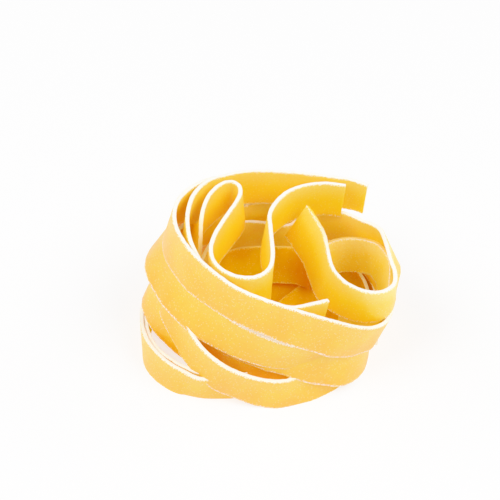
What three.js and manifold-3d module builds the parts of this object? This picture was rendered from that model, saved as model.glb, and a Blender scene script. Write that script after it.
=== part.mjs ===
// Dry pasta nest: flat egg-pasta ribbons, wound by hand into a tilted oval nest and dried hard.
// Millimetres, +Z up, origin in the middle of the outline on the surface that the nest rests on.

import * as THREE from 'three';
import { mergeVertices } from 'three/addons/utils/BufferGeometryUtils.js';
import Module from 'manifold-3d';

const wasm = await Module();
wasm.setup();

// Driving dimensions
const RIBBON_WIDTH = 10;
const RIBBON_THICKNESS = 1;
const STEP_LENGTH = 2.4;
const FLAT_SPOT_DEPTH = 0.25;
const OUTLINE_CENTRE = new THREE.Vector2(1.9, -0.03);
const NEST_SPAN = 120;
const PASTA_COLOUR = 0xf3bd4a;

// Each ribbon lies on edge, and its route is the middle of its upper edge.
// A station is [x, y, height, lean]. The turns run anticlockwise seen from above, and lean is in
// degrees: a positive lean puts the ribbon's lower edge further out than its upper edge.

// The highest turn comes round the back, forms the outer rim at the left and drops along the front.
const RIM_TURN = [
  [5, 23.4, 31, 0], [-6, 22.2, 33.6, 0], [-12.6, 18, 36.8, 4], [-18.3, 10.5, 39, 10],
  [-20.4, 5, 39.5, 16], [-20.4, -1, 39.4, 16], [-18, -8, 39.7, 14], [-14.2, -14, 39.6, 13],
  [-5.8, -21.6, 38.2, 4], [5.4, -24.5, 35.1, 2], [16.8, -22.6, 28.4, -2], [21.8, -20.5, 24.6, -6],
  [25.9, -17.8, 21.6, -14], [29.1, -14.3, 19.8, -18], [31, -9, 18.5, -18], [32.4, 0, 18, -16],
  [29, 11, 19.5, -8], [18, 20.8, 22, 0], [3, 23.2, 25.1, 0], [-8.9, 19, 25.5, 0], [-14.4, 14, 27.9, 5],
  [-19, 6, 26, 12], [-20, -5, 24, 15],
];

// The turn inside the rim starts with a cut end at the back and ends as a free corner at the front.
const INNER_RIM_TURN = [
  [26.4, 19.4, 33.3, 4], [22.6, 21.2, 33.7, 2], [17.3, 22, 34.1, 0], [7.2, 22.4, 35.2, -3],
  [-3, 21.3, 36.4, -3], [-8.1, 19, 37.3, -2], [-13, 15.3, 38.4, 0], [-16.2, 9.6, 39.2, 4],
  [-17.5, 3.2, 39.3, 8], [-17.3, -3, 39.4, 10], [-16.3, -8, 39.1, 11], [-13.5, -13, 37.2, 9],
  [-8, -18.2, 35.8, 4], [-0.6, -21.3, 34, 0], [6.4, -22.4, 33, 0], [10.6, -20.3, 31.8, 0],
  [14.9, -18, 30.8, 0],
];

// The folded strand climbs out of the hollow at the left, doubles back round a narrow bend at the
// back and a wide one at the front, and ends in a square cut at the far wall.
const FOLDED_STRAND = [
  [-15.2, -8, 27, -24], [-14.7, -2.5, 32.1, -20], [-14.3, 2.6, 38, -12], [-13.3, 8, 38.5, -4],
  [-11.6, 12, 38.4, 0], [-9.3, 14.6, 38.3, 0], [-7.1, 15.4, 38, 0], [-5.6, 14, 37.8, -2],
  [-5.3, 11.4, 37.8, -4], [-6.1, 8.5, 37.8, -6], [-8.8, 2.5, 37.7, -4], [-11.1, -3.5, 37.8, 0],
  [-11.9, -8.6, 38.2, 4], [-11.2, -13, 38.5, 4], [-9.3, -16.2, 38.8, 2], [-6.5, -18.4, 39, 0],
  [-3.2, -19.3, 39.2, 0], [-0.3, -18.2, 39.1, 0], [1.5, -15.6, 38.8, 0], [2.2, -11.6, 38.4, -6],
  [1.9, -1.2, 37.4, -11], [1.8, 5, 36.8, -8], [3.4, 9.8, 36.3, -3], [6.5, 14.4, 35.8, 0],
  [10.8, 17.2, 35.4, 2], [15.8, 18.4, 35, 2], [20.7, 18, 34.6, 2],
];

// The loop at the right: a slanted cut end in the hollow, a round bend over the rim, and a run
// back along the far wall.
const RIGHT_LOOP = [
  [11.3, 13.8, 31.5, 36], [13.2, 8.7, 31.8, 34], [14.9, 3.1, 31.8, 29], [15.5, -2.5, 31.6, 24],
  [16.5, -8.3, 31.2, 18], [19.6, -12.7, 30.8, 8], [24.1, -14.8, 30.3, 1], [27.7, -14.3, 29.9, -3],
  [30.4, -11.6, 29.6, -3], [31, -7.8, 29.5, 2], [30.3, -3.1, 29.5, 12], [29.6, 3.7, 29.2, 24],
  [28.6, 9, 28.5, 18], [24.5, 14, 26.8, 6], [20.2, 18.3, 25.5, 0], [12.8, 20.4, 24.2, 0],
  [6.5, 19.6, 19.9, 0], [0.9, 20.2, 20.4, 0], [-5.5, 18.4, 21.9, 0], [-12, 13, 21, 5], [-16, 3, 20, 8],
];

// A short length lines the inside of the right loop.
const LOOP_LINING = [
  [18.5, -10.8, 22.6, 0], [21.2, -12.6, 22.5, 0], [24.4, -13.5, 22.6, 0], [27.3, -12.8, 22.8, -2],
  [29.6, -9.9, 23, -7], [31, -3, 23, -12], [31.4, 2, 22.9, -13], [30.7, 6.4, 22.7, -11],
  [28.4, 10.2, 22.5, -9], [24.5, 12.2, 22.1, -10], [20.4, 12.4, 21.9, -10], [17, 11.1, 22, -10],
  [14.4, 8.4, 22.4, -12], [13, 5, 22.4, -12],
];

// The second turn flares out from under the rim at the left and front.
const SECOND_TURN = [
  [7, 24.2, 27, 0], [-5, 23.2, 28.2, 4], [-15.5, 18.6, 29.4, 14], [-21, 11, 30, 28],
  [-22.4, 4, 30.3, 36], [-21.8, -1, 30.4, 36], [-20.8, -5.3, 30.4, 29], [-18.7, -9.3, 30.3, 28],
  [-13.9, -16, 29.6, 22], [-9.8, -19.6, 28.7, 15], [-5, -22.2, 27, 7], [-0.8, -23.6, 25.5, 2],
  [3.7, -24.3, 23.7, -5], [8, -24.1, 22.3, -11], [12.4, -23.1, 22, -13], [17.3, -20.7, 22.8, -10],
];

// The third turn comes out under the second at the front right, sinks, and becomes the base ring.
const BASE_RING = [
  [-20.5, -5, 25, 10], [-15.5, -14, 24.4, 6], [-6, -20.6, 23.8, 0], [2.6, -22.7, 22.4, 1],
  [7.2, -22.5, 20.4, -3], [11.6, -21.6, 18.4, 0], [16.3, -19.9, 15.6, 2], [21.4, -17, 12.7, 4],
  [24.9, -12.6, 11, 0], [26.9, -3, 10, 0], [26.9, 5.7, 10, 0], [25, 12.6, 10, 0], [19.6, 18, 10, 0],
  [9.5, 21.9, 10, 0], [-3, 22.8, 10, 0], [-15, 19.6, 10, 0], [-25, 11.5, 10, 0], [-29.5, 1.5, 10, 0],
  [-29.6, -5.2, 10, 0], [-28.1, -10.5, 10, 4], [-25.7, -14.6, 10, 4], [-22.5, -18.2, 9.9, 1],
  [-18.6, -20.7, 9.4, -2], [-14.8, -22.4, 8.8, -10], [-3.5, -21.8, 9.8, -5],
];

// The low turn swings down across the front from the left wall to the surface.
const LOW_FRONT_TURN = [
  [20, 19.5, 18, 0], [8, 24.6, 19.5, 0], [-5, 24.1, 21.5, 0], [-16, 18.5, 24, 6],
  [-21.3, 9.5, 26.2, 12], [-22.6, 0, 26.6, 14], [-21, -8.6, 25.2, 16], [-18.6, -14.2, 22.6, 14],
  [-16.4, -19.2, 20.9, 8], [-13.6, -22.3, 18.8, 0], [-9.5, -24.4, 16.1, -8], [-4.7, -25, 13.3, -9],
  [1.1, -25, 11.1, -6], [5.8, -23.9, 9.9, -3], [10.4, -21, 9.7, 7], [14.6, -18.6, 9.6, 8],
  [18.4, -16, 9.6, 6], [21.6, -12, 9.8, 0], [23.4, -6, 10, 0],
];

// The left turn leans far out over the base ring, with open space under it.
const LEFT_TURN = [
  [-3, 22.5, 18, 0], [-14, 17.5, 19.5, 6], [-22, 9.5, 21, 15], [-25.8, 1, 21, 20],
  [-24.3, -5, 19.6, 20], [-21.2, -10, 18.4, 14], [-17, -14.5, 17.2, 8], [-9, -19.2, 16, 0],
  [1, -21.2, 15.4, 0], [11, -20.2, 14.5, 0], [18.5, -14.5, 13, 0],
];

// A second ring stands on the surface, pressed against the base ring at the left.
const SECOND_BASE_RING = [
  [28.7, -4, 9.9, 0], [28.8, 5.8, 9.9, 0], [27.2, 11.8, 9.9, 0], [21.2, 18.9, 9.9, 0],
  [9.5, 23.4, 9.9, 0], [-3, 24.6, 9.9, 0], [-15, 21.3, 9.9, 0], [-24, 12.6, 9.9, 0],
  [-28.4, 2, 9.7, 0], [-28.6, -5, 9.6, -1], [-27.2, -10, 9.6, 2], [-24.9, -14, 9.6, 2],
  [-21.6, -17.3, 9.8, 0], [-17.8, -19.9, 9.7, -3], [-14, -21.4, 9.6, -8], [-8, -20.4, 9.8, -5],
];

// The inner turn is the far wall of the hollow.
const INNER_TURN = [
  [14.5, 12.6, 16.2, -22], [9.8, 14.6, 16.6, -22], [5.2, 15.4, 16.3, -22], [-4, 14.8, 16.7, -22],
  [-8.4, 13, 17, -20], [-10.7, 9.4, 17.2, -16], [-11, 0, 16, -8], [-8, -9, 15, 0], [-1, -15.8, 14, 5],
  [8, -18, 13.4, 4], [16, -17.2, 13, 0],
];

// A strand crosses the bottom of the hollow nearly flat.
const FLOOR_STRAND = [
  [14, 15.5, 7.5, -60], [10.4, 11.6, 6.6, -65], [5, 6.5, 6, -68], [-1, 0, 5.6, -66],
  [-5, -7, 5.8, -60], [-6, -15, 7, -50],
];

// The lowest turn is an oval that slopes in across the bottom of the hollow.
const FLOOR_TURN = {
  centreX: 2.5, radiusX: 22, radiusY: 17.5, fromDegrees: -62, toDegrees: 130, stepDegrees: 24,
  height: 7.8, lean: -52,
};

function ovalStations(oval) {
  const stations = [];
  for (let degrees = oval.fromDegrees; degrees <= oval.toDegrees; degrees += oval.stepDegrees) {
    const angle = THREE.MathUtils.degToRad(degrees);
    const x = oval.centreX + oval.radiusX * Math.cos(angle);
    stations.push([x, oval.radiusY * Math.sin(angle), oval.height, oval.lean]);
  }
  return stations;
}

// Gives the middle of the upper edge, the way down the face and the way out of it at 0 to 1.
function ribbonFrames(stations) {
  const route = new THREE.CatmullRomCurve3(
    stations.map(([x, y, z]) => new THREE.Vector3(
      x - OUTLINE_CENTRE.x, y - OUTLINE_CENTRE.y, z - FLAT_SPOT_DEPTH)));
  const leans = new THREE.SplineCurve(
    stations.map(([, , , lean], index) => new THREE.Vector2(index, lean)));
  route.arcLengthDivisions = 400;
  const up = new THREE.Vector3(0, 0, 1);

  function frameAt(u) {
    const t = route.getUtoTmapping(u);
    const tangent = route.getTangent(t);
    const side = tangent.clone().cross(up).normalize();
    const lift = side.clone().cross(tangent);
    const lean = THREE.MathUtils.degToRad(leans.getPoint(t).y);
    const down = lift.clone().multiplyScalar(-Math.cos(lean)).addScaledVector(side, Math.sin(lean));
    const out = side.clone().multiplyScalar(Math.cos(lean)).addScaledVector(lift, Math.sin(lean));
    return { point: route.getPoint(t), down, out };
  }
  return { length: route.getLength(), frameAt };
}

// A straight bar of ribbon is divided along its length and bent onto the route.
function ribbonGeometry(stations) {
  const { length, frameAt } = ribbonFrames(stations);
  const steps = Math.round(length / STEP_LENGTH);
  const bar = new THREE.BoxGeometry(steps, RIBBON_THICKNESS, RIBBON_WIDTH, steps, 1, 1);
  const position = bar.attributes.position;
  const frames = [];
  for (let step = 0; step <= steps; step += 1) {
    frames.push(frameAt(step / steps));
  }
  for (let index = 0; index < position.count; index += 1) {
    const step = Math.round(position.getX(index) + steps / 2);
    const { point, down, out } = frames[step];
    const vertex = point.clone()
      .addScaledVector(down, RIBBON_WIDTH / 2 - position.getZ(index))
      .addScaledVector(out, -position.getY(index));
    position.setXYZ(index, vertex.x, vertex.y, vertex.z);
  }
  return bar;
}

function toManifold(geometry) {
  const bare = geometry.clone();
  bare.deleteAttribute('normal');
  bare.deleteAttribute('uv');
  const merged = mergeVertices(bare);
  return new wasm.Manifold(new wasm.Mesh({
    numProp: 3,
    vertProperties: Float32Array.from(merged.attributes.position.array),
    triVerts: Uint32Array.from(merged.index.array),
  }));
}

function toGeometry(manifold) {
  const mesh = manifold.getMesh();
  const geometry = new THREE.BufferGeometry();
  geometry.setAttribute('position', new THREE.BufferAttribute(mesh.vertProperties, 3));
  geometry.setIndex(new THREE.BufferAttribute(mesh.triVerts, 1));
  geometry.computeVertexNormals();
  return geometry;
}

// Everything above the resting surface. The ribbons that reach it get narrow flat spots.
function aboveSurface() {
  const space = new THREE.BoxGeometry(NEST_SPAN, NEST_SPAN, NEST_SPAN);
  space.translate(0, 0, NEST_SPAN / 2);
  return toManifold(space);
}

const RIBBONS = [
  RIM_TURN, INNER_RIM_TURN, FOLDED_STRAND, RIGHT_LOOP, LOOP_LINING, SECOND_TURN, BASE_RING,
  LOW_FRONT_TURN, LEFT_TURN, SECOND_BASE_RING, INNER_TURN, FLOOR_STRAND, ovalStations(FLOOR_TURN),
];

// The ribbons dried against each other, so the nest is one solid. The largest piece is its outer
// skin, and a pocket sealed between ribbons is left filled.
function nestManifold() {
  let nest = toManifold(ribbonGeometry(RIBBONS[0]));
  for (const stations of RIBBONS.slice(1)) {
    nest = nest.add(toManifold(ribbonGeometry(stations)));
  }
  const pieces = nest.intersect(aboveSurface()).decompose();
  return pieces.reduce((largest, piece) => (piece.volume() > largest.volume() ? piece : largest));
}

const pastaMaterial = new THREE.MeshStandardMaterial({
  color: PASTA_COLOUR, roughness: 0.55, metalness: 0,
});

const nestMesh = new THREE.Mesh(toGeometry(nestManifold()), pastaMaterial);
nestMesh.name = 'pasta_nest';

const pastaNest = new THREE.Group();
pastaNest.add(nestMesh);

export default pastaNest;
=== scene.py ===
import bisect
import math

import bpy
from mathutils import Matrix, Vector, geometry, noise


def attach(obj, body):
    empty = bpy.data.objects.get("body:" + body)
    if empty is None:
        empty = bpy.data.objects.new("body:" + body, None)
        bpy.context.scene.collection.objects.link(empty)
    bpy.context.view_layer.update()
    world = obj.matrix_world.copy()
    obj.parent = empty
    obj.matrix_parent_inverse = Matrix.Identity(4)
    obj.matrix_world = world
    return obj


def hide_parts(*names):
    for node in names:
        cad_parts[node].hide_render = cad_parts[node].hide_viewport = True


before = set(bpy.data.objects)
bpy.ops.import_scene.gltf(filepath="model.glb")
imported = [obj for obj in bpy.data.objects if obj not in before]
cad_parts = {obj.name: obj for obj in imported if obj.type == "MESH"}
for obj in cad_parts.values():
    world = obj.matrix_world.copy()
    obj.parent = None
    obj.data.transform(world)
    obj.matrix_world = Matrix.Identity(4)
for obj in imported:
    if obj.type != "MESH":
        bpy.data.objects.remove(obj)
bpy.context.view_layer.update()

scene = bpy.context.scene


# ---------------------------------------------------------------------------
# The table top: a plain, smooth white board with a matt finish. A little light
# comes up through it. It carries the nest and catches its shadow.

TABLE_SPAN = 6.0
TABLE_COLOUR = (0.5, 0.5, 0.5, 1)
TABLE_ROUGHNESS = 0.8
TABLE_GLOSS = 0.1
TABLE_GLOW = 0.65
WHITE_LIGHT = (1, 1, 1, 1)

bpy.ops.object.select_all(action="DESELECT")
bpy.ops.mesh.primitive_plane_add(size=TABLE_SPAN, location=(0, 0, 0))
table_top = bpy.context.active_object
table_top.name = "table_top"

table_white = bpy.data.materials.new("table_white")
table_white.use_nodes = True
table_shader = table_white.node_tree.nodes["Principled BSDF"]
table_shader.inputs["Base Color"].default_value = TABLE_COLOUR
table_shader.inputs["Roughness"].default_value = TABLE_ROUGHNESS
table_shader.inputs["Specular IOR Level"].default_value = TABLE_GLOSS
table_shader.inputs["Emission Color"].default_value = WHITE_LIGHT
table_shader.inputs["Emission Strength"].default_value = TABLE_GLOW
table_top.data.materials.append(table_white)


# ---------------------------------------------------------------------------
# The camera stands in front and looks down on the nest, from far enough that
# its shape is drawn with little perspective.

CAMERA_PLACE = (-0.004856, -0.21267, 0.22755)
CAMERA_TILT = math.radians(47)
CAMERA_LENS = 87.7
SENSOR_WIDTH = 36
NEAREST_SEEN = 0.01

camera_data = bpy.data.cameras.new("camera")
camera_data.lens = CAMERA_LENS
camera_data.sensor_width = SENSOR_WIDTH
camera_data.clip_start = NEAREST_SEEN
camera = bpy.data.objects.new("camera", camera_data)
camera.location = CAMERA_PLACE
camera.rotation_euler = (CAMERA_TILT, 0, 0)
scene.collection.objects.link(camera)
scene.camera = camera


# ---------------------------------------------------------------------------
# Soft studio light: a faint white tent and four square soft boxes. Two stand in
# front, left and right. Two weaker ones hang lower at the sides, a little
# behind. The brightest tones are rolled off gently.

TENT_STRENGTH = 0.3
LAMP_DISTANCE = 1.2
LAMP_SIZE = 0.6
LAMPS = (
    ("left_side_lamp", -105, 35, 3.0),
    ("left_front_lamp", -58, 50, 7.4),
    ("right_front_lamp", 58, 50, 7.4),
    ("right_side_lamp", 105, 35, 3.0),
)
BRIGHTEST = 1.6
ALL_COLOURS_CURVE = 3
TONE_POINTS = ((0.05, 0.10), (0.2, 0.42), (0.43, 0.71), (0.7, 0.955))

tent = bpy.data.worlds.new("tent")
tent.use_nodes = True
tent.node_tree.nodes["Background"].inputs["Color"].default_value = WHITE_LIGHT
tent.node_tree.nodes["Background"].inputs["Strength"].default_value = TENT_STRENGTH
scene.world = tent

for lamp_name, azimuth, elevation, power in LAMPS:
    lamp_data = bpy.data.lights.new(lamp_name, "AREA")
    lamp_data.size = LAMP_SIZE
    lamp_data.energy = power
    lamp = bpy.data.objects.new(lamp_name, lamp_data)
    reach = LAMP_DISTANCE * math.cos(math.radians(elevation))
    lamp.location = (reach * math.sin(math.radians(azimuth)),
                     -reach * math.cos(math.radians(azimuth)),
                     LAMP_DISTANCE * math.sin(math.radians(elevation)))
    lamp.rotation_euler = (-lamp.location).to_track_quat("-Z", "Y").to_euler()
    scene.collection.objects.link(lamp)

scene.view_settings.view_transform = "Standard"
scene.view_settings.use_curve_mapping = True
tone = scene.view_settings.curve_mapping
tone.white_level = (BRIGHTEST, BRIGHTEST, BRIGHTEST)
for tone_in, tone_out in TONE_POINTS:
    tone.curves[ALL_COLOURS_CURVE].points.new(tone_in, tone_out)
tone.update()


# ---------------------------------------------------------------------------
# The rim turn: the highest turn of the nest. Like every other it is a length
# of ribbon, rolled flat from egg and durum dough, cut 10 mm wide and wound on
# edge while soft. The rolled faces dry smooth and golden, the cuts chalky.

MM = 0.001
MOTTLE_DETAIL = 4
MOTTLE_ROUGHNESS = 0.65
MOTTLE_RANGE = (0.36, 0.64)
BRAN_REACH = 0.075
FLOUR_REACH = 0.3
SPECK_CORE = 0.5


def grain_group():
    """Semolina grain: fine mottling, sparse bran specks and denser flour specks."""
    group = bpy.data.node_groups.new("semolina_grain", "ShaderNodeTree")
    for name in ("Mottle Scale", "Bran Scale", "Flour Scale"):
        group.interface.new_socket(name, in_out="INPUT", socket_type="NodeSocketFloat")
    group.interface.new_socket("Vector", in_out="INPUT", socket_type="NodeSocketVector")
    for name in ("Mottle", "Bran", "Flour"):
        group.interface.new_socket(name, in_out="OUTPUT", socket_type="NodeSocketFloat")
    nodes, links = group.nodes, group.links
    inward = nodes.new("NodeGroupInput")
    outward = nodes.new("NodeGroupOutput")

    mottle = nodes.new("ShaderNodeTexNoise")
    mottle.inputs["Detail"].default_value = MOTTLE_DETAIL
    mottle.inputs["Roughness"].default_value = MOTTLE_ROUGHNESS
    links.new(inward.outputs["Vector"], mottle.inputs["Vector"])
    links.new(inward.outputs["Mottle Scale"], mottle.inputs["Scale"])
    contrast = nodes.new("ShaderNodeMapRange")
    contrast.inputs["From Min"].default_value = MOTTLE_RANGE[0]
    contrast.inputs["From Max"].default_value = MOTTLE_RANGE[1]
    links.new(mottle.outputs["Fac"], contrast.inputs["Value"])
    links.new(contrast.outputs["Result"], outward.inputs["Mottle"])

    for speck, reach in (("Bran", BRAN_REACH), ("Flour", FLOUR_REACH)):
        cells = nodes.new("ShaderNodeTexVoronoi")
        spot = nodes.new("ShaderNodeMapRange")
        spot.inputs["From Min"].default_value = reach
        spot.inputs["From Max"].default_value = reach * SPECK_CORE
        links.new(inward.outputs["Vector"], cells.inputs["Vector"])
        links.new(inward.outputs[speck + " Scale"], cells.inputs["Scale"])
        links.new(cells.outputs["Distance"], spot.inputs["Value"])
        links.new(spot.outputs["Result"], outward.inputs[speck])
    return group


def edge_band_group():
    """How near a point lies to its ribbon's upper edge, lower edge and start, and its chalky rim.

    The ribbon's own map runs from its start along X and from its lower to its upper edge along Y.
    """
    group = bpy.data.node_groups.new("edge_band", "ShaderNodeTree")
    for name in ("Upper Start", "Lower Start", "Start Length", "Chalk Width", "Raggedness", "Mottle"):
        group.interface.new_socket(name, in_out="INPUT", socket_type="NodeSocketFloat")
    for name in ("Upper", "Lower", "Start", "Chalk"):
        group.interface.new_socket(name, in_out="OUTPUT", socket_type="NodeSocketFloat")
    nodes, links = group.nodes, group.links
    inward = nodes.new("NodeGroupInput")
    outward = nodes.new("NodeGroupOutput")
    unrolled = nodes.new("ShaderNodeUVMap")
    axes = nodes.new("ShaderNodeSeparateXYZ")
    links.new(unrolled.outputs["UV"], axes.inputs["Vector"])
    flipped = nodes.new("ShaderNodeMath")
    flipped.operation = "SUBTRACT"
    flipped.inputs[0].default_value = 1
    links.new(axes.outputs["Y"], flipped.inputs[1])
    for band, across in (("Upper", axes.outputs["Y"]), ("Lower", flipped.outputs["Value"])):
        fade = nodes.new("ShaderNodeMapRange")
        fade.interpolation_type = "SMOOTHSTEP"
        links.new(across, fade.inputs["Value"])
        links.new(inward.outputs[band + " Start"], fade.inputs["From Min"])
        links.new(fade.outputs["Result"], outward.inputs[band])
    beginning = nodes.new("ShaderNodeMapRange")
    beginning.interpolation_type = "SMOOTHSTEP"
    beginning.inputs["To Min"].default_value = 1
    beginning.inputs["To Max"].default_value = 0
    links.new(axes.outputs["X"], beginning.inputs["Value"])
    links.new(inward.outputs["Start Length"], beginning.inputs["From Max"])
    links.new(beginning.outputs["Result"], outward.inputs["Start"])
    nearest = nodes.new("ShaderNodeMath")
    nearest.operation = "MINIMUM"
    links.new(axes.outputs["Y"], nearest.inputs[0])
    links.new(flipped.outputs["Value"], nearest.inputs[1])
    ragged = nodes.new("ShaderNodeMath")
    ragged.operation = "MULTIPLY_ADD"
    links.new(inward.outputs["Mottle"], ragged.inputs[0])
    links.new(inward.outputs["Raggedness"], ragged.inputs[1])
    links.new(nearest.outputs["Value"], ragged.inputs[2])
    chalk = nodes.new("ShaderNodeMath")
    chalk.operation = "LESS_THAN"
    links.new(ragged.outputs["Value"], chalk.inputs[0])
    links.new(inward.outputs["Chalk Width"], chalk.inputs[1])
    links.new(chalk.outputs["Value"], outward.inputs["Chalk"])
    return group


semolina_grain = grain_group()
edge_band = edge_band_group()

# The creams are painted light for the paler bands along the upper edges; the oranges are both the
# dough's grain and the painted shade along the lower edges.
FLOURY_YELLOW = (0.99, 0.40, 0.001, 1)
FLOURY_PALE = (0.99, 0.56, 0.003, 1)
FLOURY_LIGHT_CREAM = (0.99, 0.61, 0.070, 1)
FLOURY_ORANGE = (0.93, 0.27, 0.001, 1)
GOLDEN_YELLOW = (0.99, 0.55, 0.001, 1)
GOLDEN_PALE = (0.99, 0.64, 0.002, 1)
GOLDEN_LIGHT_CREAM = (0.99, 0.76, 0.220, 1)
GOLDEN_ORANGE = (0.94, 0.38, 0.001, 1)
# Painted shade for the hollow: a deep orange that stands for its shade and the orange light bounced
# inside it.
HOLLOW_SHADE_ORANGE = (0.80, 0.37, 0.001, 1)
HOLLOW_SHADE_YELLOW = (0.87, 0.47, 0.001, 1)
# Flour for the specks, and also painted light along the lining's upper edge.
FLOUR_AND_LIGHT = (0.98, 0.80, 0.35, 1)
BRAN = (0.62, 0.27, 0.02, 1)
CHALK = (0.97, 0.96, 0.92, 1)
CHALK_THIN = (0.96, 0.84, 0.55, 1)
# Chalk painted in the hollow's shade, tinted by the orange light bounced there.
SHADED_CHALK = (0.97, 0.70, 0.22, 1)
SHADED_CHALK_THIN = (0.97, 0.54, 0.08, 1)

# Grain and clouds. A scale is in cells to the metre.
MOTTLE_SCALE = 3400
BRAN_SCALE = 300
FLOUR_SCALE = 1500
CLOUD_SCALE = 130
CLOUD_DETAIL = 5
CLOUD_ROUGHNESS = 0.6
CLOUD_RANGE = (0.3, 0.7)
BUMP_STRENGTH = 0.5
FACE_GRAIN = 0.03 * MM
EDGE_GRAIN = 0.08 * MM

# Each edge's tint starts at a share of the width from the other edge, and the chalk's width is a
# share of it too. The fade is a share of the length. The upper edge's tint is painted light, a paler
# band where light falls on each ribbon, and the lower edge's tint is painted shade, a deeper band
# under the turn above.
UPPER_TINT_START = 0.45
LOWER_TINT_START = 0.3
FADE_LENGTH = 0.17
CHALK_WIDTH = 0.064
CHALK_RAGGEDNESS = 0.1


def tinted(nodes, links, colour, tint, mask, strength):
    """Lays a tint over a colour, as strongly as the mask and the strength say."""
    amount = nodes.new("ShaderNodeMath")
    amount.operation = "MULTIPLY"
    amount.inputs[1].default_value = strength
    layer = nodes.new("ShaderNodeMix")
    layer.data_type = "RGBA"
    layer.inputs["B"].default_value = tint
    links.new(mask, amount.inputs[0])
    links.new(amount.outputs["Value"], layer.inputs["Factor"])
    links.new(colour, layer.inputs["A"])
    return layer.outputs["Result"]


def pasta_material(name, plain, second, tints, grain_depth, roughness, gloss):
    """A dried pasta surface: two tones in soft clouds, with tints laid over them.

    A tint is the mask that it follows, its colour and its strength.
    """
    material = bpy.data.materials.new(name)
    material.use_nodes = True
    nodes, links = material.node_tree.nodes, material.node_tree.links
    shader = nodes["Principled BSDF"]
    place = nodes.new("ShaderNodeTexCoord")
    grain = nodes.new("ShaderNodeGroup")
    grain.node_tree = semolina_grain
    grain.inputs["Mottle Scale"].default_value = MOTTLE_SCALE
    grain.inputs["Bran Scale"].default_value = BRAN_SCALE
    grain.inputs["Flour Scale"].default_value = FLOUR_SCALE
    band = nodes.new("ShaderNodeGroup")
    band.node_tree = edge_band
    band.inputs["Upper Start"].default_value = UPPER_TINT_START
    band.inputs["Lower Start"].default_value = LOWER_TINT_START
    band.inputs["Start Length"].default_value = FADE_LENGTH
    band.inputs["Chalk Width"].default_value = CHALK_WIDTH
    band.inputs["Raggedness"].default_value = CHALK_RAGGEDNESS
    cloud = nodes.new("ShaderNodeTexNoise")
    cloud.inputs["Scale"].default_value = CLOUD_SCALE
    cloud.inputs["Detail"].default_value = CLOUD_DETAIL
    cloud.inputs["Roughness"].default_value = CLOUD_ROUGHNESS
    spread = nodes.new("ShaderNodeMapRange")
    spread.inputs["From Min"].default_value = CLOUD_RANGE[0]
    spread.inputs["From Max"].default_value = CLOUD_RANGE[1]
    ramp = nodes.new("ShaderNodeMix")
    ramp.data_type = "RGBA"
    ramp.inputs["A"].default_value = plain
    ramp.inputs["B"].default_value = second
    bump = nodes.new("ShaderNodeBump")
    bump.inputs["Strength"].default_value = BUMP_STRENGTH
    bump.inputs["Distance"].default_value = grain_depth
    links.new(place.outputs["Object"], grain.inputs["Vector"])
    links.new(place.outputs["Object"], cloud.inputs["Vector"])
    links.new(grain.outputs["Mottle"], band.inputs["Mottle"])
    links.new(cloud.outputs["Fac"], spread.inputs["Value"])
    links.new(spread.outputs["Result"], ramp.inputs["Factor"])
    masks = {socket.name: socket for socket in (*grain.outputs, *band.outputs)}
    colour = ramp.outputs["Result"]
    for mask, tint, strength in tints:
        colour = tinted(nodes, links, colour, tint, masks[mask], strength)
    links.new(grain.outputs["Mottle"], bump.inputs["Height"])
    links.new(colour, shader.inputs["Base Color"])
    links.new(bump.outputs["Normal"], shader.inputs["Normal"])
    shader.inputs["Roughness"].default_value = roughness
    shader.inputs["Specular IOR Level"].default_value = gloss
    return material


# The rolled faces, all flecked with flour and bran. Outside the nest they take a duller yellow with a
# little more flour, and inside it a brighter gold: lit and shaded copies of one dough, the brighter
# gold being painted light on faces that lie in shade. The loop's lining is painted paler, as painted
# light, and the hollow deeper, as painted shade.
floury_face = pasta_material(
    "floury_face", FLOURY_YELLOW, FLOURY_PALE,
    (("Upper", FLOURY_LIGHT_CREAM, 0.5), ("Lower", FLOURY_ORANGE, 0.35), ("Mottle", FLOURY_ORANGE, 0.5),
     ("Flour", FLOUR_AND_LIGHT, 0.35), ("Bran", BRAN, 0.6), ("Chalk", CHALK, 0.8)),
    grain_depth=FACE_GRAIN, roughness=0.45, gloss=0.8)
# The faces inside the nest: the brighter gold is painted light on faces in shade.
golden_face = pasta_material(
    "golden_face", GOLDEN_YELLOW, GOLDEN_PALE,
    (("Upper", GOLDEN_LIGHT_CREAM, 0.6), ("Lower", GOLDEN_ORANGE, 0.3), ("Mottle", GOLDEN_ORANGE, 0.35),
     ("Flour", FLOUR_AND_LIGHT, 0.25), ("Bran", BRAN, 0.6), ("Chalk", CHALK, 0.8)),
    grain_depth=FACE_GRAIN, roughness=0.45, gloss=0.8)
# The lining: a paler copy of the dough, painted light on a piece that lies in shade; its flour specks
# are real.
lining_face_painted_light = pasta_material(
    "lining_face_painted_light", GOLDEN_LIGHT_CREAM, GOLDEN_PALE,
    (("Upper", FLOUR_AND_LIGHT, 0.5), ("Lower", GOLDEN_PALE, 0.6), ("Mottle", GOLDEN_ORANGE, 0.3),
     ("Flour", FLOUR_AND_LIGHT, 0.6), ("Bran", BRAN, 0.6), ("Chalk", CHALK, 0.7)),
    grain_depth=FACE_GRAIN, roughness=0.6, gloss=0.3)
# The hollow's faces: a copy painted in shade, deep orange, without gloss or glow.
hollow_face_painted_shade = pasta_material(
    "hollow_face_painted_shade", HOLLOW_SHADE_ORANGE, HOLLOW_SHADE_YELLOW,
    (("Mottle", HOLLOW_SHADE_ORANGE, 0.3), ("Flour", FLOUR_AND_LIGHT, 0.15), ("Bran", BRAN, 0.6),
     ("Chalk", SHADED_CHALK, 0.5)),
    grain_depth=FACE_GRAIN, roughness=0.6, gloss=0.0)

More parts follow.
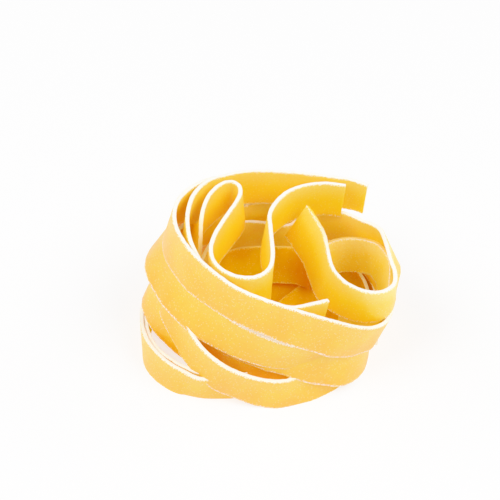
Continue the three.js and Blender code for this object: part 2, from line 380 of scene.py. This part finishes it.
# The cut edges: rough and chalky, golden at the start of a ribbon where they fade in. In the hollow
# they are painted in shade, a darker, orange chalk.
cut_edge = pasta_material(
    "cut_edge", CHALK, CHALK, (("Mottle", CHALK_THIN, 0.55), ("Bran", BRAN, 0.3)),
    grain_depth=EDGE_GRAIN, roughness=0.9, gloss=0.5)
fading_edge = pasta_material(
    "fading_edge", CHALK, CHALK, (("Mottle", CHALK_THIN, 0.55), ("Start", GOLDEN_PALE, 1.0)),
    grain_depth=EDGE_GRAIN, roughness=0.9, gloss=0.5)
hollow_edge_painted_shade = pasta_material(
    "hollow_edge_painted_shade", SHADED_CHALK, SHADED_CHALK, (("Mottle", SHADED_CHALK_THIN, 0.6), ("Bran", BRAN, 0.3)),
    grain_depth=EDGE_GRAIN, roughness=0.9, gloss=0.3)

# Light soaks into the thin dough, and a faint glow stands for what comes through.
SOAKED_LIGHT = 0.45
SOAK_BY_COLOUR = (1.0, 0.9, 0.5)
SOAK_DEPTH = 1.5 * MM
GLOW = (0.9, 0.60, 0.0, 1)
GLOW_STRENGTH = 0.08
# The warm glow on the chalky cut edges is painted light: it stands for the yellow light bounced onto
# them where they lie in shade.
CHALK_GLOW = (1.0, 0.75, 0.35, 1)
CHALK_GLOW_STRENGTH = 0.12

for face in (floury_face, golden_face, lining_face_painted_light, hollow_face_painted_shade):
    face_shader = face.node_tree.nodes["Principled BSDF"]
    face_shader.inputs["Subsurface Weight"].default_value = SOAKED_LIGHT
    face_shader.inputs["Subsurface Radius"].default_value = SOAK_BY_COLOUR
    face_shader.inputs["Subsurface Scale"].default_value = SOAK_DEPTH
    if face is not hollow_face_painted_shade:
        face_shader.inputs["Emission Color"].default_value = GLOW
        face_shader.inputs["Emission Strength"].default_value = GLOW_STRENGTH
for edge in (cut_edge, fading_edge):
    edge_shader = edge.node_tree.nodes["Principled BSDF"]
    edge_shader.inputs["Emission Color"].default_value = CHALK_GLOW
    edge_shader.inputs["Emission Strength"].default_value = CHALK_GLOW_STRENGTH


# The ribbon's cut size, how finely it is divided, and the middle of the outline
# in the stations' own frame. The nest sinks onto its lowest edges by a flat
# spot's depth.
RIBBON_WIDTH = 10 * MM
RIBBON_THICKNESS = 1 * MM
RIBBON_STEP = 0.5 * MM
FEWEST_STEPS = 4
CELLS_ACROSS = 10
OUTLINE_CENTRE = Vector((1.9 * MM, -0.03 * MM, 0))
FLAT_SPOT_DEPTH = 0.25 * MM


def route_points(stations):
    """Points close together on a smooth route through the stations, each with its lean.

    The route is a centripetal Catmull-Rom curve, which keeps tight bends free of kinks.
    """
    middles = [Vector((x, y, z)) * MM - OUTLINE_CENTRE - Vector((0, 0, FLAT_SPOT_DEPTH))
               for x, y, z, _ in stations]
    leans = [lean for *_, lean in stations]
    middles = [2 * middles[0] - middles[1]] + middles + [2 * middles[-1] - middles[-2]]
    leans = [leans[0]] + leans + [leans[-1]]
    points = []
    for index in range(1, len(middles) - 2):
        before, start, end, after = middles[index - 1:index + 3]
        gaps = [math.sqrt((b - a).length) for a, b in ((before, start), (start, end), (end, after))]
        leave = ((start - before) / gaps[0] - (end - before) / (gaps[0] + gaps[1])
                 + (end - start) / gaps[1]) * gaps[1]
        arrive = ((end - start) / gaps[1] - (after - start) / (gaps[1] + gaps[2])
                  + (after - end) / gaps[2]) * gaps[1]
        count = 1 + max(FEWEST_STEPS, round((end - start).length / RIBBON_STEP))
        curve = geometry.interpolate_bezier(start, start + leave / 3, end - arrive / 3, end, count)
        lean_a, lean_b, lean_c, lean_d = leans[index - 1:index + 3]
        slope_b, slope_c = (lean_c - lean_a) / 2, (lean_d - lean_b) / 2
        for step, point in enumerate(curve[:-1]):
            t = step / (count - 1)
            lean = (lean_b + slope_b * t + (3 * (lean_c - lean_b) - 2 * slope_b - slope_c) * t ** 2
                    + (2 * (lean_b - lean_c) + slope_b + slope_c) * t ** 3)
            points.append((point, math.radians(lean)))
    points.append((middles[-2], math.radians(leans[-2])))
    return points


NICKS_START = 4.8 * MM
NICK_DEPTH = 0.12 * MM
NICKS_PER_METRE = 700
SWELL = 0.16
SWELLS_PER_METRE = 90


def wind(ribbon, points, seed):
    """Bends a flat ribbon, laid along X from its start, on edge onto the points of its route.

    Its thickness swells and thins a little, its edges are slightly nicked, and what would
    reach below the table is pressed flat against it.
    """
    travelled = [0.0]
    for (here, _), (there, _) in zip(points, points[1:]):
        travelled.append(travelled[-1] + (there - here).length)
    frames = []
    for index, (point, lean) in enumerate(points):
        ahead = points[min(index + 1, len(points) - 1)][0]
        behind = points[max(index - 1, 0)][0]
        tangent = (ahead - behind).normalized()
        side = tangent.cross(Vector((0, 0, 1))).normalized()
        lift = side.cross(tangent)
        down = -math.cos(lean) * lift + math.sin(lean) * side
        out = math.cos(lean) * side + math.sin(lean) * lift
        frames.append((point, down, out))
    cut_length = max(vertex.co.x for vertex in ribbon.data.vertices)
    for vertex in ribbon.data.vertices:
        along = vertex.co.x / cut_length * travelled[-1]
        across = vertex.co.y
        if abs(across) > NICKS_START:
            nick = noise.noise(Vector((along * NICKS_PER_METRE, seed, math.copysign(1, across))))
            across += NICK_DEPTH * nick
        swell = noise.noise(Vector((along * SWELLS_PER_METRE, seed, 0)))
        thick = vertex.co.z * (1 + SWELL * swell)
        high = bisect.bisect_right(travelled, along, 1, len(travelled) - 1)
        low = high - 1
        t = (along - travelled[low]) / (travelled[high] - travelled[low])
        point, down, out = (a.lerp(b, t) for a, b in zip(frames[low], frames[high]))
        vertex.co = point + down * (RIBBON_WIDTH / 2 - across) + out * thick
        vertex.co.z = max(vertex.co.z, 0)


CORNER_ROUNDING = 0.12 * MM
CORNER_SEGMENTS = 2
CORNER_ANGLE = math.radians(60)
SMOOTH_ANGLE = math.radians(40)
FACE_SLOT, EDGE_SLOT, INNER_SLOT = range(3)


def lay_ribbon(name, stations, seed, face, edge, inner_face=None):
    """Cuts a flat ribbon as long as its route, rounds its edges and winds it into place."""
    points = route_points(stations)
    length = sum((b[0] - a[0]).length for a, b in zip(points, points[1:]))
    steps = round(length / RIBBON_STEP)
    bpy.ops.object.select_all(action="DESELECT")
    bpy.ops.mesh.primitive_grid_add(x_subdivisions=steps, y_subdivisions=CELLS_ACROSS, size=1,
                                    location=(0, 0, 0))
    ribbon = bpy.context.active_object
    ribbon.name = name
    # The unit grid becomes the flat ribbon, with its start at X = 0 and its middle at Y = 0.
    bpy.ops.object.mode_set(mode="EDIT")
    bpy.ops.mesh.select_all(action="SELECT")
    bpy.ops.transform.translate(value=(0.5, 0, 0))
    bpy.ops.transform.resize(value=(length, RIBBON_WIDTH, 1), center_override=(0, 0, 0))
    bpy.ops.object.mode_set(mode="OBJECT")
    ribbon.data.materials.append(face)
    ribbon.data.materials.append(edge)
    ribbon.data.materials.append(inner_face or face)
    body = ribbon.modifiers.new("thickness", "SOLIDIFY")
    body.thickness = RIBBON_THICKNESS
    body.offset = 0
    body.material_offset = INNER_SLOT
    body.material_offset_rim = EDGE_SLOT
    corners = ribbon.modifiers.new("worn_corners", "BEVEL")
    corners.width = CORNER_ROUNDING
    corners.segments = CORNER_SEGMENTS
    corners.limit_method = "ANGLE"
    corners.angle_limit = CORNER_ANGLE
    corners.material = FACE_SLOT
    for modifier in (body, corners):
        bpy.ops.object.modifier_apply(modifier=modifier.name)
    wind(ribbon, points, seed)
    bpy.ops.object.shade_smooth_by_angle(angle=SMOOTH_ANGLE)
    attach(ribbon, "root")
    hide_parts("pasta_nest")


# A ribbon's route is the middle of its upper edge. Each station gives x, y and
# height in millimetres and a lean in degrees: on an anticlockwise turn, a
# positive lean puts the lower edge further out than the upper edge.
RIM_TURN = [
    (5, 23.4, 31, 0), (-6, 22.2, 33.6, 0), (-12.6, 18, 36.8, 4), (-18.3, 10.5, 39, 10),
    (-20.4, 5, 39.5, 16), (-20.4, -1, 39.4, 16), (-18, -8, 39.7, 14), (-14.2, -14, 39.6, 13),
    (-5.8, -21.6, 38.2, 4), (5.4, -24.5, 35.1, 2), (16.8, -22.6, 28.4, -2), (21.8, -20.5, 24.6, -6),
    (25.9, -17.8, 21.6, -14), (29.1, -14.3, 19.8, -18), (31, -9, 18.5, -18), (32.4, 0, 18, -16),
    (29, 11, 19.5, -8), (18, 20.8, 22, 0), (3, 23.2, 25.1, 0), (-8.9, 19, 25.5, 0),
    (-14.4, 14, 27.9, 5), (-19, 6, 26, 12), (-20, -5, 24, 15),
]
# Its inner face takes the brighter gold, painted light on the side the hollow shades.
lay_ribbon("rim_turn", RIM_TURN, 1, floury_face, cut_edge, golden_face)


# ---------------------------------------------------------------------------
# The turn inside the rim: a length of the same ribbon, wound against the rim
# turn while soft. It starts with a cut end at the back and ends as a free
# corner at the front, where it looks out of the hollow.

INNER_RIM_TURN = [
    (26.4, 19.4, 33.3, 4), (22.6, 21.2, 33.7, 2), (17.3, 22, 34.1, 0), (7.2, 22.4, 35.2, -3),
    (-3, 21.3, 36.4, -3), (-8.1, 19, 37.3, -2), (-13, 15.3, 38.4, 0), (-16.2, 9.6, 39.2, 4),
    (-17.5, 3.2, 39.3, 8),
    (-17.3, -3, 39.4, 10), (-16.3, -8, 39.1, 11), (-13.5, -13, 37.2, 9), (-8, -18.2, 35.8, 4),
    (-0.6, -21.3, 34, 0), (6.4, -22.4, 33, 0), (10.6, -20.3, 31.8, 0), (14.9, -18, 30.8, 0),
]
lay_ribbon("inner_rim_turn", INNER_RIM_TURN, 2, golden_face, cut_edge)


# ---------------------------------------------------------------------------
# The folded strand: a length of ribbon that climbs out of the hollow at the
# left, doubles back round a narrow bend at the back and a wide one at the
# front, and ends in a square cut at the far wall.

FOLDED_STRAND = [
    (-15.2, -8, 27, -24), (-14.7, -2.5, 32.1, -20), (-14.3, 2.6, 38, -12), (-13.3, 8, 38.5, -4),
    (-11.6, 12, 38.4, 0), (-9.3, 14.6, 38.3, 0), (-7.1, 15.4, 38, 0), (-5.6, 14, 37.8, -2),
    (-5.3, 11.4, 37.8, -4), (-6.1, 8.5, 37.8, -6), (-8.8, 2.5, 37.7, -4), (-11.1, -3.5, 37.8, 0),
    (-11.9, -8.6, 38.2, 4), (-11.2, -13, 38.5, 4), (-9.3, -16.2, 38.8, 2), (-6.5, -18.4, 39, 0),
    (-3.2, -19.3, 39.2, 0), (-0.3, -18.2, 39.1, 0), (1.5, -15.6, 38.8, 0), (2.2, -11.6, 38.4, -6),
    (1.9, -1.2, 37.4, -11), (1.8, 5, 36.8, -8), (3.4, 9.8, 36.3, -3), (6.5, 14.4, 35.8, 0),
    (10.8, 17.2, 35.4, 2), (15.8, 18.4, 35, 2), (20.7, 18, 34.6, 2),
]
lay_ribbon("folded_strand", FOLDED_STRAND, 3, golden_face, fading_edge)


# ---------------------------------------------------------------------------
# The right loop: a ribbon bent into a loop, with a slanted cut end in the hollow, a round bend that
# stands on the rim, and a run back along the far wall. A short length, flecked with flour, lines the
# bend and has dried onto it; its pale cream colour is painted light on a piece that lies in shade.

RIGHT_LOOP = [
    (11.3, 13.8, 31.5, 36), (13.2, 8.7, 31.8, 34), (14.9, 3.1, 31.8, 29), (15.5, -2.5, 31.6, 24),
    (16.5, -8.3, 31.2, 18), (19.6, -12.7, 30.8, 8), (24.1, -14.8, 30.3, 1), (27.7, -14.3, 29.9, -3),
    (30.4, -11.6, 29.6, -3), (31, -7.8, 29.5, 2), (30.3, -3.1, 29.5, 12), (29.6, 3.7, 29.2, 24),
    (28.6, 9, 28.5, 18), (24.5, 14, 26.8, 6), (20.2, 18.3, 25.5, 0), (12.8, 20.4, 24.2, 0),
    (6.5, 19.6, 19.9, 0), (0.9, 20.2, 20.4, 0), (-5.5, 18.4, 21.9, 0), (-12, 13, 21, 5),
    (-16, 3, 20, 8),
]
LOOP_LINING = [
    (18.5, -10.8, 22.6, 0), (21.2, -12.6, 22.5, 0), (24.4, -13.5, 22.6, 0), (27.3, -12.8, 22.8, -2),
    (29.6, -9.9, 23, -7), (31, -3, 23, -12), (31.4, 2, 22.9, -13), (30.7, 6.4, 22.7, -11),
    (28.4, 10.2, 22.5, -9), (24.5, 12.2, 22.1, -10), (20.4, 12.4, 21.9, -10), (17, 11.1, 22, -10),
    (14.4, 8.4, 22.4, -12), (13, 5, 22.4, -12),
]
lay_ribbon("right_loop", RIGHT_LOOP, 4, golden_face, fading_edge)
lay_ribbon("loop_lining", LOOP_LINING, 5, lining_face_painted_light, hollow_edge_painted_shade)


# ---------------------------------------------------------------------------
# The outer wall: three ribbons wound under the rim turn. The second turn flares
# out from under it, the next sinks and becomes the base ring, and a low turn
# swings down across the front to the table.

SECOND_TURN = [
    (7, 24.2, 27, 0), (-5, 23.2, 28.2, 4), (-15.5, 18.6, 29.4, 14), (-21, 11, 30, 28),
    (-22.4, 4, 30.3, 36), (-21.8, -1, 30.4, 36), (-20.8, -5.3, 30.4, 29), (-18.7, -9.3, 30.3, 28),
    (-13.9, -16, 29.6, 22), (-9.8, -19.6, 28.7, 15), (-5, -22.2, 27, 7), (-0.8, -23.6, 25.5, 2),
    (3.7, -24.3, 23.7, -5), (8, -24.1, 22.3, -11), (12.4, -23.1, 22, -13), (17.3, -20.7, 22.8, -10),
]
BASE_RING = [
    (-20.5, -5, 25, 10), (-15.5, -14, 24.4, 6), (-6, -20.6, 23.8, 0), (2.6, -22.7, 22.4, 1),
    (7.2, -22.5, 20.4, -3), (11.6, -21.6, 18.4, 0), (16.3, -19.9, 15.6, 2), (21.4, -17, 12.7, 4),
    (24.9, -12.6, 11, 0), (26.9, -3, 10, 0), (26.9, 5.7, 10, 0), (25, 12.6, 10, 0),
    (19.6, 18, 10, 0), (9.5, 21.9, 10, 0), (-3, 22.8, 10, 0), (-15, 19.6, 10, 0), (-25, 11.5, 10, 0),
    (-29.5, 1.5, 10, 0), (-29.6, -5.2, 10, 0), (-28.1, -10.5, 10, 4), (-25.7, -14.6, 10, 4),
    (-22.5, -18.2, 9.9, 1), (-18.6, -20.7, 9.4, -2), (-14.8, -22.4, 8.8, -10), (-3.5, -21.8, 9.8, -5),
]
LOW_FRONT_TURN = [
    (20, 19.5, 18, 0), (8, 24.6, 19.5, 0), (-5, 24.1, 21.5, 0), (-16, 18.5, 24, 6),
    (-21.3, 9.5, 26.2, 12), (-22.6, 0, 26.6, 14), (-21, -8.6, 25.2, 16), (-18.6, -14.2, 22.6, 14),
    (-16.4, -19.2, 20.9, 8), (-13.6, -22.3, 18.8, 0), (-9.5, -24.4, 16.1, -8), (-4.7, -25, 13.3, -9),
    (1.1, -25, 11.1, -6), (5.8, -23.9, 9.9, -3), (10.4, -21, 9.7, 7), (14.6, -18.6, 9.6, 8),
    (18.4, -16, 9.6, 6), (21.6, -12, 9.8, 0), (23.4, -6, 10, 0),
]
lay_ribbon("second_turn", SECOND_TURN, 6, floury_face, cut_edge)
# The base ring's inner face carries the hollow's painted shade.
lay_ribbon("base_ring", BASE_RING, 7, floury_face, cut_edge, hollow_face_painted_shade)
lay_ribbon("low_front_turn", LOW_FRONT_TURN, 8, floury_face, cut_edge)


# ---------------------------------------------------------------------------
# The left end: a turn that leans far out over the base ring, with open space
# under it, and a second ring of ribbon that stands on the table, pressed
# against the base ring.

LEFT_TURN = [
    (-3, 22.5, 18, 0), (-14, 17.5, 19.5, 6), (-22, 9.5, 21, 15), (-25.8, 1, 21, 20),
    (-24.3, -5, 19.6, 20), (-21.2, -10, 18.4, 14), (-17, -14.5, 17.2, 8), (-9, -19.2, 16, 0),
    (1, -21.2, 15.4, 0), (11, -20.2, 14.5, 0), (18.5, -14.5, 13, 0),
]
SECOND_BASE_RING = [
    (28.7, -4, 9.9, 0), (28.8, 5.8, 9.9, 0), (27.2, 11.8, 9.9, 0), (21.2, 18.9, 9.9, 0),
    (9.5, 23.4, 9.9, 0), (-3, 24.6, 9.9, 0), (-15, 21.3, 9.9, 0), (-24, 12.6, 9.9, 0),
    (-28.4, 2, 9.7, 0), (-28.6, -5, 9.6, -1), (-27.2, -10, 9.6, 2), (-24.9, -14, 9.6, 2),
    (-21.6, -17.3, 9.8, 0), (-17.8, -19.9, 9.7, -3), (-14, -21.4, 9.6, -8), (-8, -20.4, 9.8, -5),
]
lay_ribbon("left_turn", LEFT_TURN, 9, floury_face, cut_edge)
# The second ring's inner face carries the hollow's painted shade.
lay_ribbon("second_base_ring", SECOND_BASE_RING, 10, floury_face, cut_edge, hollow_face_painted_shade)


# ---------------------------------------------------------------------------
# The hollow: an inner turn of ribbon is its far wall, and two lengths lie
# sloping across its bottom, a cut strand and the last turn of the winding.

INNER_TURN = [
    (14.5, 12.6, 16.2, -22), (9.8, 14.6, 16.6, -22), (5.2, 15.4, 16.3, -22), (-4, 14.8, 16.7, -22),
    (-8.4, 13, 17, -20), (-10.7, 9.4, 17.2, -16), (-11, 0, 16, -8), (-8, -9, 15, 0),
    (-1, -15.8, 14, 5), (8, -18, 13.4, 4), (16, -17.2, 13, 0),
]
FLOOR_STRAND = [
    (14, 15.5, 7.5, -60), (10.4, 11.6, 6.6, -65), (5, 6.5, 6, -68), (-1, 0, 5.6, -66),
    (-5, -7, 5.8, -60), (-6, -15, 7, -50),
]
FLOOR_TURN_CENTRE_X = 2.5
FLOOR_TURN_RADII = (22, 17.5)
FLOOR_TURN_HEIGHT = 7.8
FLOOR_TURN_LEAN = -52
FLOOR_TURN_FIRST, FLOOR_TURN_LAST, FLOOR_TURN_STEP = -62, 130, 24

FLOOR_TURN = [
    (FLOOR_TURN_CENTRE_X + FLOOR_TURN_RADII[0] * math.cos(math.radians(degrees)),
     FLOOR_TURN_RADII[1] * math.sin(math.radians(degrees)), FLOOR_TURN_HEIGHT, FLOOR_TURN_LEAN)
    for degrees in range(FLOOR_TURN_FIRST, FLOOR_TURN_LAST + 1, FLOOR_TURN_STEP)
]
# The hollow's pieces carry its painted shade.
lay_ribbon("inner_turn", INNER_TURN, 11, hollow_face_painted_shade, hollow_edge_painted_shade)
lay_ribbon("floor_strand", FLOOR_STRAND, 12, hollow_face_painted_shade, hollow_edge_painted_shade)
lay_ribbon("floor_turn", FLOOR_TURN, 13, hollow_face_painted_shade, hollow_edge_painted_shade)
